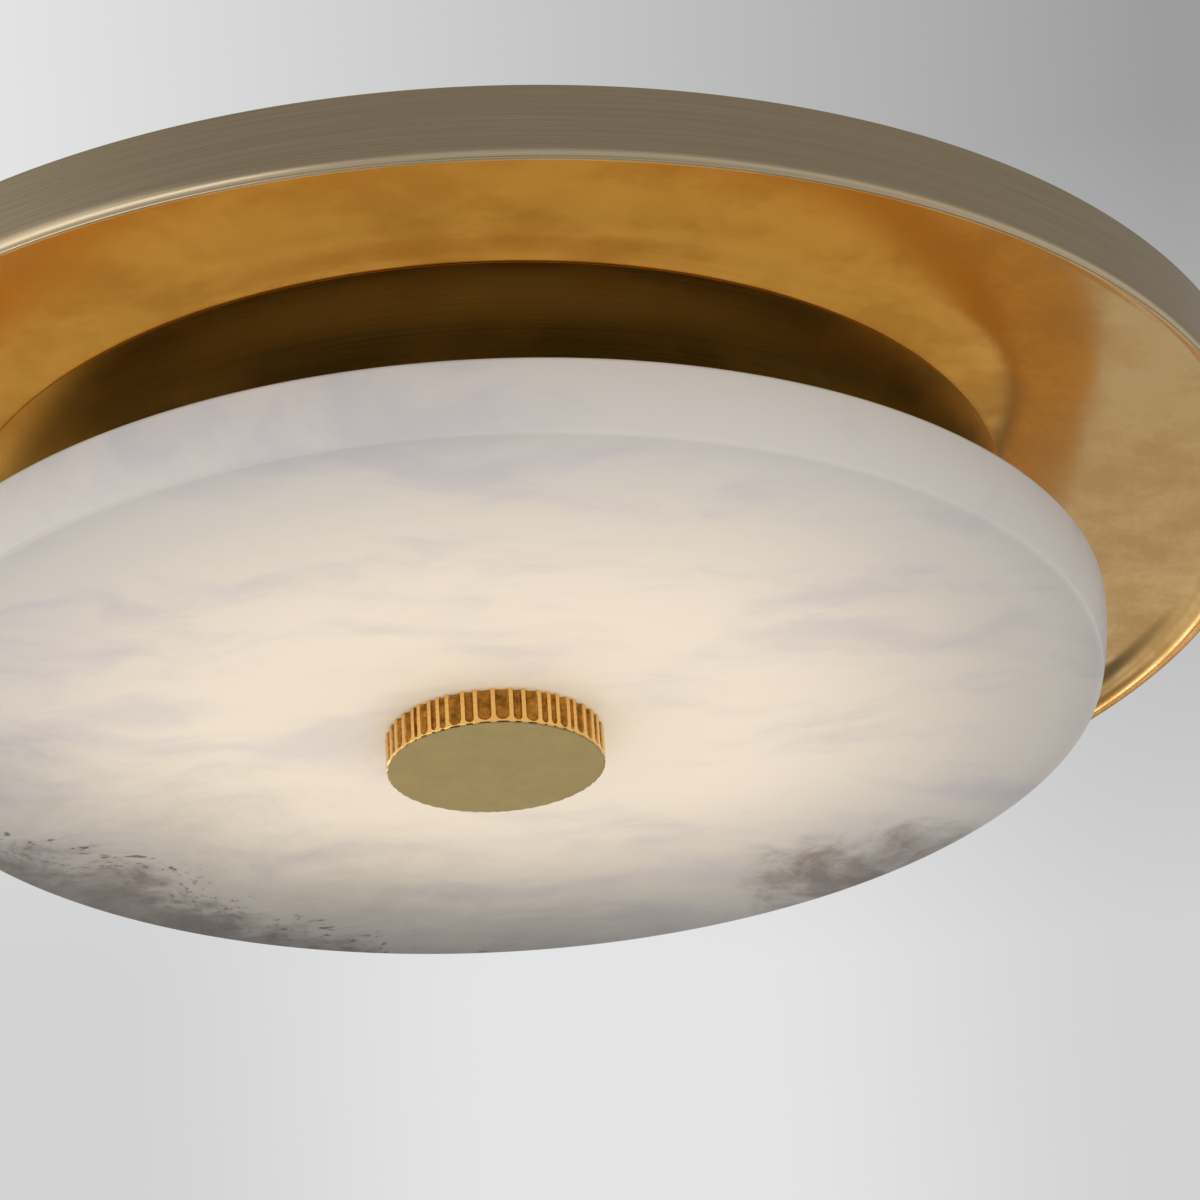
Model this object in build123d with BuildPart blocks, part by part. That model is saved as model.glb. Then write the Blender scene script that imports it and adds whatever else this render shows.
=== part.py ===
from build123d import *
from math import cos, pi, radians, sin, sqrt
import os

os.makedirs("parts", exist_ok=True)

# Frame: millimetres, +Z up, origin on the light's axis in the ceiling plane.
# A "drop" is a depth below the ceiling, so a drop of 21 is the level z = -21.

# Driving dimensions of the dish
dish_r = 229.0
dish_sheet = 1.5
rim_drop = 21.0
rim_lip = 2.0
rim_roll_width = 9.6
ring_outer_drop = 12.5
ring_inner_drop = 10.0
ring_hollow = 26.9
centre_drop = 4.7

# Drum between the dish and the stone
drum_r = 154.1
drum_wall = 1.5
drum_flange = 15.0
drum_foot = 7.0
drum_screw_count = 6

# Alabaster disc
stone_drop = 48.3
stone_top_r = 179.5
stone_arris_r = 176.7
stone_side = 20.3
stone_side_bulge = 0.7
stone_dome = 1.5
stone_edge_round = 1.2
stone_hole_r = 8.25
gasket_thick = 1.5
gasket_inset = 0.6

# Boss that holds the stone up
boss_r = 31.75
boss_thick = 10.8
boss_standoff = 0.3
boss_recess_r = 27.0
boss_recess = 0.8
boss_bore = 8.2
rib_count = 50
rib_start = -88.0
rib_width = 1.2
rib_groove_depth = 1.1
rib_lip = 0.7
rib_drift = 0.35
rib_drift_waves = 5
rib_wander = 0.12
rib_wander_waves = 19
boss_edge = 0.4
thread_play = 0.05

# Threaded rod, its flange and lock nut
rod_r = 5.0
rod_end_gap = 0.6
flange_r = 22.0
flange_plate = 3.0
flange_collar_r = 10.0
flange_collar = 10.0
flange_screw_count = 3
flange_screw_ring = 16.5
rod_top_gap = 0.3
nut_play = 0.05
locknut_across = 17.0
locknut_thick = 5.0

# Sleeve in the stone's hole and the washer under it
sleeve_play = 0.05
sleeve_rod_gap = 0.35
sleeve_flange_r = 12.0
sleeve_flange = 1.0
sleeve_end_gap = 0.8
washer_edge_gap = 0.5

# Strap on the ceiling box, with its studs
strap_length = 134.0
strap_width = 22.0
strap_thick = 2.5
slot_spacing = 79.5
slot_r = 2.3
slot_length = 18.0
strap_centre_hole_r = 5.2
strap_corner_r = 5.0
stud_spacing = 122.0
stud_r = 2.5
stud_drop = 13.0
stud_top_gap = 0.3
stud_clearance = 0.5
stud_washer_r = 5.0
stud_washer_thick = 1.0
stud_nut_across = 8.0
stud_nut_thick = 4.0

# Wire bushing in the dish
bushing_y = -33.0
bushing_bore_r = 5.0
bushing_barrel_r = 7.95
bushing_play = 0.05
bushing_flange_r = 10.0
bushing_flange = 1.5
bushing_below = 5.5
bushing_snap_r = 8.5
bushing_snap = 1.0

# M4 and M3 screws with pan heads
m4_r = 2.0
m4_head_r = 3.6
m4_head = 2.4
m3_r = 1.5
m3_head_r = 2.75
m3_head = 2.0
screw_play = 0.05
screw_clearance = 0.3

# Light engine under the dish
standoff_length = 26.8
standoff_across = 7.0
standoff_ring = 51.0
standoff_count = 4
standoff_bore = 10.0
carrier_thick = 1.5
carrier_inner_r = 18.0
carrier_outer_r = 56.0
carrier_window_r = 4.5
board_thick = 1.6
board_inner_r = 21.0
board_outer_r = 46.5
board_screw_ring = 34.5
board_screw_count = 4
chip_length = 3.5
chip_width = 2.8
chip_thick = 0.8
chip_ring_rs = (28.5, 41.0)
chip_counts = (12, 20)

# Driver and terminal block
driver_length = 118.0
driver_width = 32.0
driver_height = 22.0
driver_y = -99.0
driver_corner = 3.0
driver_ear = 12.0
driver_ear_width = 14.0
driver_ear_thick = 2.0
terminal_length = 36.0
terminal_width = 18.0
terminal_height = 14.0
terminal_y = -61.0
terminal_ways = 3
terminal_pitch = 11.0
terminal_mouth_r = 2.2
terminal_mouth = 6.0
terminal_screw_r = 1.8
terminal_screw = 5.0
terminal_fix_x = 5.5

# Leads and earthing
lead_r = 1.1
lead_z = -15.0
lead_bend = 6.0
input_lead_step = 4.0
input_lead_bend = 3.0
output_lead_x = 26.0
output_lead_pitch = 4.0
output_lead_out = 12.0
output_lead_rise = 2.0
output_lead_bend = 8.0
earth_lead_z = -9.5
earth_lead_slope = 3.0
earth_x = 44.0
earth_tag_r = 4.6
earth_tag_thick = 0.8
earth_barrel_r = 1.9
earth_barrel = 6.0

# Levels and sizes that follow from the dimensions above
centre_z = -centre_drop
centre_top_z = centre_z + dish_sheet
rim_z = -rim_drop
lip_inner_r = dish_r - rim_lip
ring_end_r = lip_inner_r - rim_roll_width
ring_start_r = drum_r + ring_hollow
stone_top_z = -stone_drop
drum_bottom_z = stone_top_z + gasket_thick
stone_arris_z = stone_top_z - stone_side
stone_low_z = stone_arris_z - stone_dome
boss_top_z = stone_low_z - boss_standoff
boss_bore_z = boss_top_z - boss_bore
rod_top_z = centre_z - rod_top_gap
rod_low_z = boss_bore_z + rod_end_gap
thread_hole_r = rod_r + thread_play
carrier_top_z = centre_z - standoff_length
carrier_low_z = carrier_top_z - carrier_thick
board_low_z = carrier_low_z - board_thick
m4_hole_r = m4_r + screw_play
m3_hole_r = m3_r + screw_play
drum_screw_ring = drum_r - drum_flange / 2
terminal_low_z = centre_z - terminal_height
driver_ear_x = driver_length / 2 + driver_ear / 2


def ring_places(radius, count, z, start=0.0):
    """Points spaced evenly on a circle at one level, from a starting angle in degrees."""
    angles = [radians(start + 360 * k / count) for k in range(count)]
    return [(radius * cos(a), radius * sin(a), z) for a in angles]


def post(places, radius, length, mode=Mode.ADD):
    """Upright cylinders that hang down from the given points."""
    with Locations(*places):
        Cylinder(radius, length, align=(Align.CENTER, Align.CENTER, Align.MAX), mode=mode)


def pan_screws(places, shank_r, head_r, head, grip):
    """Pan-head screws driven upwards: places are where the heads seat, grip is the shank above."""
    post(places, head_r, head)
    post([(x, y, z + grip) for x, y, z in places], shank_r, grip + head / 2)


def hex_nuts(places, across, thick, bore_r):
    """Hexagon nuts that hang down from the given points."""
    for x, y, z in places:
        with BuildSketch(Plane.XY.offset(z)) as outline:
            with Locations((x, y)):
                RegularPolygon(across / 2, 6, major_radius=False)
                Circle(bore_r, mode=Mode.SUBTRACT)
        extrude(outline.sketch, amount=-thick)


def lead(points, bends):
    """A round insulated lead along straight runs joined by arcs."""
    with BuildLine() as route:
        FilletPolyline(*points, radius=bends)
    with BuildSketch(Plane(origin=route.line @ 0, z_dir=route.line % 0)) as section:
        Circle(lead_r)
    sweep(sections=section.sketch, path=route.line)


def rib_angle(k):
    """Angle of rib k: evenly spaced, then moved by a slow drift and a quick wander round the boss."""
    step = 2 * pi / rib_count
    drift = rib_drift * sin(rib_drift_waves * step * k)
    wander = rib_wander * sin(rib_wander_waves * step * k)
    return radians(rib_start) + step * (k + drift + wander)


drum_screw_places = ring_places(drum_screw_ring, drum_screw_count, centre_z - drum_wall, 30)
flange_screw_places = ring_places(flange_screw_ring, flange_screw_count, centre_z - flange_plate, 90)
standoff_places = ring_places(standoff_ring, standoff_count, centre_z, 45)
board_screw_places = ring_places(board_screw_ring, board_screw_count, board_low_z, 0)
driver_ear_low_z = centre_z - driver_ear_thick
driver_screw_places = [(x, driver_y, driver_ear_low_z) for x in (-driver_ear_x, driver_ear_x)]
stud_places = [(x, 0, -stud_top_gap) for x in (-stud_spacing / 2, stud_spacing / 2)]
terminal_fix_places = [(x, terminal_y, terminal_low_z) for x in (-terminal_fix_x, terminal_fix_x)]
earth_place = (earth_x, terminal_y, centre_z - earth_tag_thick)

# Mounting strap: flat steel bar with two slots for the ceiling box's screws
with BuildPart() as mounting_strap:
    with BuildSketch():
        RectangleRounded(strap_length, strap_width, strap_corner_r)
        with Locations((-slot_spacing / 2, 0), (slot_spacing / 2, 0)):
            SlotOverall(slot_length, 2 * slot_r, mode=Mode.SUBTRACT)
        Circle(strap_centre_hole_r, mode=Mode.SUBTRACT)
        with Locations((-stud_spacing / 2, 0), (stud_spacing / 2, 0)):
            Circle(stud_r + thread_play, mode=Mode.SUBTRACT)
    extrude(amount=-strap_thick)
mounting_strap.part.label = "mounting_strap"

# Studs screwed into the strap, which the dish is pulled up on
with BuildPart() as strap_studs:
    post(stud_places, stud_r, stud_drop - stud_top_gap)
strap_studs.part.label = "strap_studs"

with BuildPart() as stud_washers:
    washer_places = [(x, y, centre_z) for x, y, z in stud_places]
    post(washer_places, stud_washer_r, stud_washer_thick)
    post(washer_places, stud_r + nut_play, stud_washer_thick, Mode.SUBTRACT)
stud_washers.part.label = "stud_washers"

with BuildPart() as stud_nuts:
    nut_places = [(x, y, centre_z - stud_washer_thick) for x, y, z in stud_places]
    hex_nuts(nut_places, stud_nut_across, stud_nut_thick, stud_r + nut_play)
stud_nuts.part.label = "stud_nuts"

# Dish: one spun sheet with a centre plate, a hollow round the drum, a ring, a rolled lip and an upright rim
with BuildPart() as dish:
    with BuildSketch(Plane.XZ):
        with BuildLine():
            centre_plate = Line((0, centre_z), (drum_r, centre_z))
            ring_face = Line((ring_start_r, -ring_inner_drop), (ring_end_r, -ring_outer_drop))
            TangentArc(ring_face @ 0, centre_plate @ 1, tangent=-(ring_face % 0))
            roll = TangentArc(ring_face @ 1, (lip_inner_r, rim_z), tangent=ring_face % 1)
            Polyline(roll @ 1, (dish_r, rim_z), (dish_r, 0))
            offset(amount=dish_sheet, side=Side.LEFT, closed=True)
        make_face()
    revolve(axis=Axis.Z)
    hole_depth = 2 * dish_sheet
    stud_holes = [(x, y, centre_top_z) for x, y, z in stud_places]
    post(stud_holes, stud_r + stud_clearance, hole_depth, Mode.SUBTRACT)
    post([(0, bushing_y, centre_top_z)], bushing_barrel_r + bushing_play, hole_depth, Mode.SUBTRACT)
    threaded = drum_screw_places + flange_screw_places + standoff_places + driver_screw_places
    post([(x, y, centre_top_z) for x, y, z in threaded], m4_hole_r, hole_depth, Mode.SUBTRACT)
    post([(earth_x, terminal_y, centre_top_z)], m4_hole_r, hole_depth, Mode.SUBTRACT)
    post([(x, y, centre_top_z) for x, y, z in terminal_fix_places], m3_hole_r, hole_depth, Mode.SUBTRACT)
dish.part.label = "dish"

# Drum: a tube with an inward flange screwed to the dish and an inward foot under the gasket
with BuildPart() as drum:
    with BuildSketch(Plane.XZ):
        with BuildLine():
            Polyline(
                (drum_r - drum_flange, centre_z),
                (drum_r, centre_z),
                (drum_r, drum_bottom_z),
                (drum_r - drum_foot, drum_bottom_z),
                (drum_r - drum_foot, drum_bottom_z + drum_wall),
                (drum_r - drum_wall, drum_bottom_z + drum_wall),
                (drum_r - drum_wall, centre_z - drum_wall),
                (drum_r - drum_flange, centre_z - drum_wall),
                close=True,
            )
        make_face()
    revolve(axis=Axis.Z)
    drum_holes = [(x, y, centre_z) for x, y, z in drum_screw_places]
    post(drum_holes, m4_r + screw_clearance, drum_wall, Mode.SUBTRACT)
drum.part.label = "drum"

with BuildPart() as drum_screws:
    pan_screws(drum_screw_places, m4_r, m4_head_r, m4_head, drum_wall + dish_sheet)
drum_screws.part.label = "drum_screws"

# Silicone ring between the drum's foot and the stone
with BuildPart() as drum_gasket:
    gasket_r = drum_r - gasket_inset
    gasket_bore_r = drum_r - drum_foot + gasket_inset
    post([(0, 0, drum_bottom_z)], gasket_r, gasket_thick)
    post([(0, 0, drum_bottom_z)], gasket_bore_r, gasket_thick, Mode.SUBTRACT)
drum_gasket.part.label = "drum_gasket"

# Snap bushing that the supply wires pass through
with BuildPart() as wire_bushing:
    bushing_top_z = centre_top_z + bushing_snap
    bushing_low_z = centre_z - bushing_below
    post([(0, bushing_y, bushing_top_z)], bushing_barrel_r, bushing_top_z - bushing_low_z)
    post([(0, bushing_y, bushing_top_z)], bushing_snap_r, bushing_snap)
    post([(0, bushing_y, centre_z)], bushing_flange_r, bushing_flange)
    post([(0, bushing_y, bushing_top_z)], bushing_bore_r, bushing_top_z - bushing_low_z, Mode.SUBTRACT)
wire_bushing.part.label = "wire_bushing"

# Flange with a threaded collar that carries the rod
with BuildPart() as rod_flange:
    post([(0, 0, centre_z)], flange_r, flange_plate)
    post([(0, 0, centre_z - flange_plate)], flange_collar_r, flange_collar)
    post([(0, 0, centre_z)], thread_hole_r, flange_plate + flange_collar, Mode.SUBTRACT)
    flange_holes = [(x, y, centre_z) for x, y, z in flange_screw_places]
    post(flange_holes, m4_r + screw_clearance, flange_plate, Mode.SUBTRACT)
rod_flange.part.label = "rod_flange"

with BuildPart() as flange_screws:
    pan_screws(flange_screw_places, m4_r, m4_head_r, m4_head, flange_plate + dish_sheet)
flange_screws.part.label = "flange_screws"

with BuildPart() as centre_rod:
    post([(0, 0, rod_top_z)], rod_r, rod_top_z - rod_low_z)
centre_rod.part.label = "centre_rod"

with BuildPart() as rod_locknut:
    locknut_place = (0, 0, centre_z - flange_plate - flange_collar)
    hex_nuts([locknut_place], locknut_across, locknut_thick, rod_r + nut_play)
rod_locknut.part.label = "rod_locknut"

# Hexagon standoffs with a stub that screws into the dish
with BuildPart() as standoffs:
    hex_nuts(standoff_places, standoff_across, standoff_length, m3_hole_r)
    post(standoff_places, standoff_across / 2 - screw_clearance, standoff_length - standoff_bore)
    stub_places = [(x, y, z + dish_sheet) for x, y, z in standoff_places]
    post(stub_places, m4_r, 2 * dish_sheet)
standoffs.part.label = "standoffs"

# Carrier plate under the standoffs
with BuildPart() as led_carrier:
    carrier_place = (0, 0, carrier_top_z)
    post([carrier_place], carrier_outer_r, carrier_thick)
    post([carrier_place], carrier_inner_r, carrier_thick, Mode.SUBTRACT)
    carrier_holes = [(x, y, carrier_top_z) for x, y, z in standoff_places]
    post(carrier_holes, m3_r + screw_clearance, carrier_thick, Mode.SUBTRACT)
    board_holes = [(x, y, carrier_top_z) for x, y, z in board_screw_places]
    post(board_holes, m3_hole_r, carrier_thick, Mode.SUBTRACT)
    window_place = (output_lead_x, -output_lead_x, carrier_top_z)
    post([window_place], carrier_window_r, carrier_thick, Mode.SUBTRACT)
led_carrier.part.label = "led_carrier"

with BuildPart() as carrier_screws:
    carrier_screw_places = [(x, y, carrier_low_z) for x, y, z in standoff_places]
    pan_screws(carrier_screw_places, m3_r, m3_head_r, m3_head, carrier_thick + standoff_bore / 2)
carrier_screws.part.label = "carrier_screws"

# Ring-shaped circuit board with two rings of light-emitting chips
with BuildPart() as led_board:
    board_place = (0, 0, carrier_low_z)
    post([board_place], board_outer_r, board_thick)
    post([board_place], board_inner_r, board_thick, Mode.SUBTRACT)
    through_places = [(x, y, carrier_low_z) for x, y, z in board_screw_places]
    post(through_places, m3_r + screw_clearance, board_thick, Mode.SUBTRACT)
led_board.part.label = "led_board"

with BuildPart() as led_chips:
    with BuildSketch(Plane.XY.offset(board_low_z)):
        for chip_ring_r, chip_count in zip(chip_ring_rs, chip_counts):
            with PolarLocations(chip_ring_r, chip_count, start_angle=180 / chip_count):
                Rectangle(chip_width, chip_length)
    extrude(amount=-chip_thick)
led_chips.part.label = "led_chips"

with BuildPart() as board_screws:
    pan_screws(board_screw_places, m3_r, m3_head_r, m3_head, board_thick + carrier_thick)
board_screws.part.label = "board_screws"

# Driver that turns the supply into low-voltage current, a potted case with two ears
with BuildPart() as driver_case:
    with BuildSketch(Plane.XY.offset(centre_z)):
        with Locations((0, driver_y)):
            RectangleRounded(driver_length, driver_width, driver_corner)
    extrude(amount=-driver_height)
    with BuildSketch(Plane.XY.offset(centre_z)):
        with Locations((0, driver_y)):
            Rectangle(driver_length + 2 * driver_ear, driver_ear_width)
    extrude(amount=-driver_ear_thick)
    ear_places = [(x, y, centre_z) for x, y, z in driver_screw_places]
    post(ear_places, m4_r + screw_clearance, driver_ear_thick, Mode.SUBTRACT)
driver_case.part.label = "driver_case"

with BuildPart() as driver_screws:
    pan_screws(driver_screw_places, m4_r, m4_head_r, m4_head, driver_ear_thick + dish_sheet)
driver_screws.part.label = "driver_screws"

# Terminal block with wire mouths towards the bushing and screw wells from below
with BuildPart() as terminal_block:
    terminal_front_y = terminal_y + terminal_width / 2
    with BuildSketch(Plane.XY.offset(centre_z)):
        with Locations((0, terminal_y)):
            Rectangle(terminal_length, terminal_width)
    extrude(amount=-terminal_height)
    way_xs = [(k - (terminal_ways - 1) / 2) * terminal_pitch for k in range(terminal_ways)]
    mouth_plane = Plane(origin=(0, terminal_front_y, lead_z), x_dir=(1, 0, 0), z_dir=(0, 1, 0))
    with BuildSketch(mouth_plane):
        with Locations(*[(x, 0) for x in way_xs]):
            Circle(terminal_mouth_r)
    extrude(amount=-terminal_mouth, mode=Mode.SUBTRACT)
    well_places = [(x, terminal_y, terminal_low_z + terminal_screw) for x in way_xs]
    post(well_places, terminal_screw_r + screw_play, terminal_screw, Mode.SUBTRACT)
    fix_places = [(x, y, centre_z) for x, y, z in terminal_fix_places]
    post(fix_places, m3_r + screw_clearance, terminal_height, Mode.SUBTRACT)
terminal_block.part.label = "terminal_block"

with BuildPart() as terminal_screws:
    post(well_places, terminal_screw_r, terminal_screw)
terminal_screws.part.label = "terminal_screws"

with BuildPart() as terminal_fixings:
    pan_screws(terminal_fix_places, m3_r, m3_head_r, m3_head, terminal_height + dish_sheet)
terminal_fixings.part.label = "terminal_fixings"

# Leads from the terminal block to the driver, with a small step sideways
driver_face_y = driver_y + driver_width / 2
terminal_back_y = terminal_y - terminal_width / 2
with BuildPart() as input_leads:
    middle_y = (driver_face_y + terminal_back_y) / 2
    for side in (-1, 1):
        block_x = side * terminal_pitch
        case_x = side * (terminal_pitch + input_lead_step)
        input_route = [
            (block_x, terminal_back_y, lead_z),
            (block_x, middle_y, lead_z),
            (case_x, middle_y - input_lead_step / 2, lead_z),
            (case_x, driver_face_y, lead_z),
        ]
        lead(input_route, input_lead_bend)
input_leads.part.label = "input_leads"

# Leads from the driver to the board, over the carrier and down through its window
with BuildPart() as output_leads:
    for side in (-1, 1):
        lead_x = output_lead_x + side * output_lead_pitch / 2
        output_route = [
            (lead_x, driver_face_y, lead_z),
            (lead_x, driver_face_y + output_lead_out, lead_z),
            (lead_x, driver_face_y + 2 * output_lead_out, lead_z + output_lead_rise),
            (lead_x, -output_lead_x, lead_z + output_lead_rise),
            (lead_x, -output_lead_x, carrier_low_z),
        ]
        lead(output_route, output_lead_bend)
output_leads.part.label = "output_leads"

# Ring tag, screw and lead that earth the dish
barrel_z = centre_z - earth_barrel_r
barrel_far_x = earth_x - earth_tag_r
barrel_near_x = barrel_far_x - earth_barrel
with BuildPart() as earth_tag:
    tag_place = (earth_x, terminal_y, centre_z)
    post([tag_place], earth_tag_r, earth_tag_thick)
    barrel_plane = Plane(origin=(barrel_near_x, terminal_y, barrel_z), x_dir=(0, 1, 0), z_dir=(1, 0, 0))
    with BuildSketch(barrel_plane):
        Circle(earth_barrel_r)
    extrude(amount=earth_barrel)
    with BuildSketch(Plane.XY.offset(centre_z)):
        with Locations((barrel_far_x, terminal_y)):
            Rectangle(earth_barrel, 2 * earth_barrel_r)
    extrude(amount=-earth_tag_thick)
    post([tag_place], m4_r + screw_clearance, 2 * earth_barrel_r, Mode.SUBTRACT)
earth_tag.part.label = "earth_tag"

with BuildPart() as earth_screw:
    pan_screws([earth_place], m4_r, m4_head_r, m4_head, earth_tag_thick + dish_sheet)
earth_screw.part.label = "earth_screw"

with BuildPart() as earth_lead:
    block_side_x = terminal_length / 2
    bend_x = (block_side_x + barrel_near_x) / 2
    earth_route = [
        (block_side_x, terminal_y, earth_lead_z),
        (bend_x - earth_lead_slope, terminal_y, earth_lead_z),
        (bend_x + earth_lead_slope, terminal_y, barrel_z),
        (barrel_near_x, terminal_y, barrel_z),
    ]
    lead(earth_route, lead_bend)
earth_lead.part.label = "earth_lead"

# Alabaster disc: flat on top, slightly flared at the side and slightly domed below
with BuildPart() as alabaster_disc:
    with BuildSketch(Plane.XZ):
        with BuildLine():
            side_r = (stone_top_r + stone_arris_r) / 2 + stone_side_bulge
            side_z = (stone_top_z + stone_arris_z) / 2
            stone_top = Line((0, stone_top_z), (stone_top_r, stone_top_z))
            stone_edge = ThreePointArc(stone_top @ 1, (side_r, side_z), (stone_arris_r, stone_arris_z))
            dome_r = (stone_arris_r**2 + stone_dome**2) / (2 * stone_dome)
            half_r = stone_arris_r / 2
            half_z = stone_low_z + dome_r - sqrt(dome_r**2 - half_r**2)
            ThreePointArc(stone_edge @ 1, (half_r, half_z), (0, stone_low_z))
            Line((0, stone_low_z), (0, stone_top_z))
        stone_face = make_face()
        fillet(stone_face.vertices().sort_by(Axis.X)[-2:], stone_edge_round)
    revolve(axis=Axis.Z)
    post([(0, 0, stone_top_z)], stone_hole_r, stone_side + 2 * stone_dome, Mode.SUBTRACT)
alabaster_disc.part.label = "alabaster_disc"

# Nylon sleeve that keeps the rod off the stone
with BuildPart() as stone_sleeve:
    sleeve_top_z = stone_top_z + sleeve_flange
    sleeve_length = sleeve_top_z - stone_low_z - sleeve_end_gap
    post([(0, 0, sleeve_top_z)], stone_hole_r - sleeve_play, sleeve_length)
    post([(0, 0, sleeve_top_z)], sleeve_flange_r, sleeve_flange)
    post([(0, 0, sleeve_top_z)], rod_r + sleeve_rod_gap, sleeve_length, Mode.SUBTRACT)
stone_sleeve.part.label = "stone_sleeve"

# Fibre washer between the stone and the boss, in the boss's recess
with BuildPart() as boss_washer:
    washer_thick = boss_standoff + boss_recess
    post([(0, 0, stone_low_z)], boss_recess_r - washer_edge_gap, washer_thick)
    post([(0, 0, stone_low_z)], rod_r + sleeve_rod_gap, washer_thick, Mode.SUBTRACT)
boss_washer.part.label = "boss_washer"

# Cast boss with a blind threaded bore and uneven grooves between its ribs, with a lip below them
with BuildPart() as boss:
    post([(0, 0, boss_top_z)], boss_r, boss_thick)
    chamfer(boss.edges().filter_by(GeomType.CIRCLE), boss_edge)
    post([(0, 0, boss_top_z)], boss_recess_r, boss_recess, Mode.SUBTRACT)
    post([(0, 0, boss_top_z)], thread_hole_r, boss_bore, Mode.SUBTRACT)
    for k in range(rib_count):
        before, after = rib_angle(k), rib_angle(k + 1)
        groove_half = (boss_r * (after - before) - rib_width) / 2
        groove_r = (groove_half**2 + rib_groove_depth**2) / (2 * rib_groove_depth)
        groove_ring = boss_r + groove_r - rib_groove_depth
        groove_angle = (before + after) / 2
        groove_place = (groove_ring * cos(groove_angle), groove_ring * sin(groove_angle), boss_top_z)
        post([groove_place], groove_r, boss_thick - rib_lip, Mode.SUBTRACT)
boss.part.label = "boss"

pieces = (
    mounting_strap,
    strap_studs,
    stud_washers,
    stud_nuts,
    dish,
    drum,
    drum_screws,
    drum_gasket,
    wire_bushing,
    rod_flange,
    flange_screws,
    centre_rod,
    rod_locknut,
    standoffs,
    led_carrier,
    carrier_screws,
    led_board,
    led_chips,
    board_screws,
    driver_case,
    driver_screws,
    terminal_block,
    terminal_screws,
    terminal_fixings,
    input_leads,
    output_leads,
    earth_tag,
    earth_screw,
    earth_lead,
    alabaster_disc,
    stone_sleeve,
    boss_washer,
    boss,
)
for piece in pieces:
    export_step(piece.part, f"parts/{piece.part.label}.step")
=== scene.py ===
import math

import bmesh
import bpy
import numpy as np
from bpy.props import FloatProperty, FloatVectorProperty, IntProperty, PointerProperty
from mathutils import Matrix, Vector


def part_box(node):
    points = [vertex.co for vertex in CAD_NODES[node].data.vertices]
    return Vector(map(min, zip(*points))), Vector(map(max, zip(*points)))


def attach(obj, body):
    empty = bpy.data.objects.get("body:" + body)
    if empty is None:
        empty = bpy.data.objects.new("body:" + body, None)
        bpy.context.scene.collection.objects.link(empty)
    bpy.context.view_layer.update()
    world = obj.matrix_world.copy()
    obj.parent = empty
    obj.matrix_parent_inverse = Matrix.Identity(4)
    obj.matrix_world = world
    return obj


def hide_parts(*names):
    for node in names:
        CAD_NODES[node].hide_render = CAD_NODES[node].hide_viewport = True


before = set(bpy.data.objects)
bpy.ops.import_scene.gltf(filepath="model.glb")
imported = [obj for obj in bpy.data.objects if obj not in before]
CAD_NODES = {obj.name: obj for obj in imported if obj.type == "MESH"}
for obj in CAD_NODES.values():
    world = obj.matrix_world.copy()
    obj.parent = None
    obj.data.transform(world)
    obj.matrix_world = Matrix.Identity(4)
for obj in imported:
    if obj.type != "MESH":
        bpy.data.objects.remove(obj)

bl_info = {
    "name": "Alabaster flush mount light",
    "version": (1, 0, 0),
    "blender": (4, 5, 0),
    "location": "3D View > Sidebar > Flush light",
    "description": "Flush ceiling light: spun brass dish, brushed drum, alabaster disc, ribbed boss",
    "category": "Add Mesh",
}

MM = 0.001
TURN = 2 * math.pi
SMOOTH = {"interpolation_type": "SMOOTHSTEP"}
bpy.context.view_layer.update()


def corners(node):
    """Lowest and highest corner of a CAD node, in mm."""
    low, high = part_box(node)
    return np.array(low) / MM, np.array(high) / MM


DISH_LOW, DISH_HIGH = corners("dish")
DRUM_LOW, DRUM_HIGH = corners("drum")
STONE_LOW, STONE_HIGH = corners("alabaster_disc")
BOSS_LOW, BOSS_HIGH = corners("boss")
BUSHING_LOW, BUSHING_HIGH = corners("wire_bushing")
WASHER_LOW, WASHER_HIGH = corners("boss_washer")
ROD_LOW, ROD_HIGH = corners("centre_rod")
OUTPUT_LOW, OUTPUT_HIGH = corners("output_leads")


# Colours and nodes

def linear(code):
    """Linear values of an sRGB hex colour: c / 12.92 where it is dark, else ((c + 0.055) / 1.055) ** 2.4."""
    channels = [int(code[k:k + 2], 16) / 255 for k in (1, 3, 5)]
    return (*[c / 12.92 if c <= 0.04045 else ((c + 0.055) / 1.055) ** 2.4 for c in channels], 1.0)


def add(tree, kind, inputs=None, out=0, **settings):
    """Adds one shader node and gives one of its outputs. Inputs holds a value or a link for each socket, by
    name or number, and settings the node's own properties."""
    node = tree.nodes.new("ShaderNode" + kind)
    for name, value in settings.items():
        setattr(node, name, value)
    for socket, value in (inputs or {}).items():
        if isinstance(value, bpy.types.NodeSocket):
            tree.links.new(value, node.inputs[socket])
        else:
            node.inputs[socket].default_value = value
    return node.outputs[out] if node.outputs else None


def blank(name):
    """An empty material and its node tree."""
    made = bpy.data.materials.new(name)
    made.use_nodes = True
    made.node_tree.nodes.clear()
    return made, made.node_tree


def whereabouts(tree):
    """The point on the piece in metres, the same point on the ceiling plane, its radius and its height."""
    place = add(tree, "TexCoord", out="Object")
    flat = add(tree, "VectorMath", {0: place, 1: (1, 1, 0)}, operation="MULTIPLY")
    radius = add(tree, "VectorMath", {0: flat}, out="Value", operation="LENGTH")
    height = add(tree, "SeparateXYZ", {0: place}, out="Z")
    return place, flat, radius, height


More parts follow.
